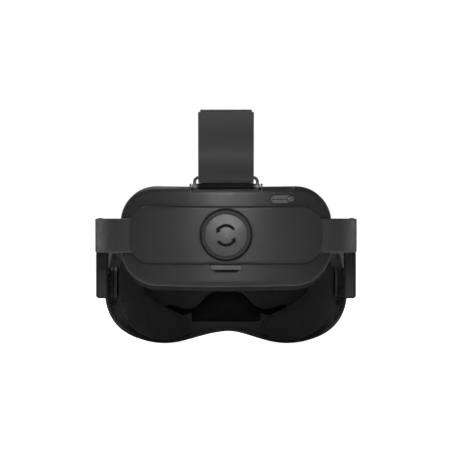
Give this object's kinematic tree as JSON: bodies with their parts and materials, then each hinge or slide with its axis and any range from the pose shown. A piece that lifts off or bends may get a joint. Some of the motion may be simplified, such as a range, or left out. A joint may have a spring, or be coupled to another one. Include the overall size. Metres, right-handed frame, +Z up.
{
  "type": "vr headset",
  "caption": "Self-contained VR headset with hinged speaker arms, a rear battery unit with a fit dial, and a strap over the crown.",
  "frame": {"origin": "on the ground plane that the visor's lowest lobes touch, in the middle of the headset's width and length", "axes": "+Z up, -Y the way the wearer faces, +X to the wearer's left"},
  "size_m": [0.2026, 0.3001, 0.1853],
  "materials": {
    "visor_shell": "fine matte moulded",
    "front_gloss": "gloss",
    "housing": "soft matte moulded",
    "housing_inner": "matte",
    "dial_plastic": "satin",
    "clip_plastic": "satin",
    "band_plastic": "satin flexible",
    "cushion_cover": "soft synthetic leather",
    "webbing": "woven",
    "dark_metal": "black coated",
    "steel": "brushed",
    "aluminium_part": "anodised",
    "lens_glass": "coated",
    "window_glass": "dark",
    "circuit": "solder mask",
    "chip_black": "display glass",
    "fan_plastic": "matte",
    "rubber_part": "matte"
  },
  "bodies": {
    "visor": {"front_shell": "visor_shell", "faceplate": "front_gloss", "camera_windows": "window_glass", "tracking_cameras": "housing_inner", "visor_frame": "visor_shell", "visor_screws": "dark_metal", "usb_c_port": "steel", "audio_jack": "housing_inner", "main_board": "circuit", "heat_sink": "aluminium_part", "fan_housing": "fan_plastic", "optics_chassis": "housing_inner", "guide_rods": "steel", "lens_bezel": "housing_inner", "proximity_sensor": "window_glass", "hinge_hubs": "dark_metal", "strap_anchor": "housing", "strap_front": "webbing"},
    "fan": {"fan_rotor": "fan_plastic"},
    "left_eyepiece": {"left_lens_barrel": "housing_inner", "left_lens": "lens_glass", "left_display": "chip_black"},
    "right_eyepiece": {"right_lens_barrel": "housing_inner", "right_lens": "lens_glass", "right_display": "chip_black"},
    "ipd_dial": {"ipd_knob": "dial_plastic"},
    "power_key": {"power_button": "visor_shell"},
    "volume_key": {"volume_rocker": "visor_shell"},
    "gasket": {"gasket_frame": "housing_inner", "gasket_magnets": "steel", "face_cushion": "cushion_cover"},
    "side_arms": {"left_arm": "housing", "right_arm": "housing", "left_speaker_box": "housing", "right_speaker_box": "housing", "speaker_grilles": "dark_metal", "speaker_drivers": "rubber_part", "speaker_screws": "clip_plastic", "speaker_clips": "clip_plastic", "hinge_pins": "dark_metal", "left_band": "band_plastic", "right_band": "band_plastic"},
    "rear_unit": {"rear_shell": "housing", "charge_port": "steel", "status_window": "window_glass", "inner_shell": "housing_inner", "rear_screws": "dark_metal", "rear_cushion": "cushion_cover", "band_cover": "housing", "ring_pins": "steel", "strap_rear": "webbing"},
    "fit_dial": {"dial_ring": "dial_plastic", "dial_knob": "dial_plastic", "dial_pinion": "dial_plastic"},
    "left_rack_body": {"left_rack": "dial_plastic"},
    "right_rack_body": {"right_rack": "dial_plastic"},
    "battery": {"battery_pack": "housing"},
    "latch": {"battery_latch": "clip_plastic"},
    "status_key": {"status_button": "front_gloss"},
    "ring": {"strap_ring": "dark_metal"}
  },
  "joints": [
    {"name": "arm_hinge", "type": "hinge", "parent": "visor", "child": "side_arms", "pos_m": [0, -0.072, 0.05], "axis": [1, 0, 0], "range_deg": [-10, 22], "deforming": ["strap_front"]},
    {"name": "size_slide", "type": "slide", "parent": "side_arms", "child": "rear_unit", "axis": [0, 1, 0], "range_m": [-0.018, 0.022], "deforming": ["strap_rear", "left_band", "right_band"]},
    {"name": "dial_turn", "type": "hinge", "parent": "rear_unit", "child": "fit_dial", "pos_m": [0, 0.14277, 0.0886], "axis": [0, 0.999, -0.0436], "range_deg": [-182, 182]},
    {"name": "left_rack_slide", "type": "slide", "parent": "rear_unit", "child": "left_rack_body", "axis": [1, 0, 0], "range_m": [-0.0185, 0.0225]},
    {"name": "right_rack_slide", "type": "slide", "parent": "rear_unit", "child": "right_rack_body", "axis": [-1, 0, 0], "range_m": [-0.0185, 0.0225]},
    {"name": "battery_slide", "type": "slide", "parent": "rear_unit", "child": "battery", "axis": [0, 0.0436, 0.999], "range_m": [-0.07, 0]},
    {"name": "latch_slide", "type": "slide", "parent": "rear_unit", "child": "latch", "axis": [0, 0.0436, 0.999], "range_m": [-0.002, 0], "stiffness_N_per_m": 300, "springref_m": 0.001},
    {"name": "status_press", "type": "slide", "parent": "rear_unit", "child": "status_key", "axis": [0.4321, -0.901, 0.0393], "range_m": [0, 0.0005], "stiffness_N_per_m": 600, "springref_m": -0.0005},
    {"name": "ring_swing", "type": "hinge", "parent": "rear_unit", "child": "ring", "pos_m": [0, 0.13932, 0.12418], "axis": [1, 0, 0], "range_deg": [-10, 10]},
    {"name": "fan_spin", "type": "hinge", "parent": "visor", "child": "fan", "pos_m": [0, -0.1402, 0.08], "axis": [0, 1, 0], "continuous": true},
    {"name": "left_lens_slide", "type": "slide", "parent": "visor", "child": "left_eyepiece", "axis": [1, 0, 0], "range_m": [-0.00375, 0.00375]},
    {"name": "right_lens_slide", "type": "slide", "parent": "visor", "child": "right_eyepiece", "axis": [1, 0, 0], "range_m": [-0.00375, 0.00375]},
    {"name": "ipd_turn", "type": "hinge", "parent": "visor", "child": "ipd_dial", "pos_m": [0, -0.1105, 0.092], "axis": [0, 0, 1], "range_deg": [-36, 36]},
    {"name": "power_press", "type": "slide", "parent": "visor", "child": "power_key", "axis": [0, 0, -1], "range_m": [0, 0.0008], "stiffness_N_per_m": 600, "springref_m": -0.0005},
    {"name": "volume_rock", "type": "hinge", "parent": "visor", "child": "volume_key", "pos_m": [-0.0955, -0.104, 0.062], "axis": [0, 1, 0], "range_deg": [-3, 3], "stiffness_Nm_per_rad": 0.5},
    {"name": "gasket_pull", "type": "slide", "parent": "visor", "child": "gasket", "axis": [0, 1, 0], "range_m": [0, 0.03]}
  ],
  "couplings": [
    {"joint": "dial_turn", "follows": "size_slide", "rad_per_m": 142.86},
    {"joint": "left_rack_slide", "follows": "size_slide", "ratio": 1},
    {"joint": "right_rack_slide", "follows": "size_slide", "ratio": 1},
    {"joint": "right_lens_slide", "follows": "left_lens_slide", "ratio": -1},
    {"joint": "ipd_turn", "follows": "left_lens_slide", "rad_per_m": -166.67}
  ]
}
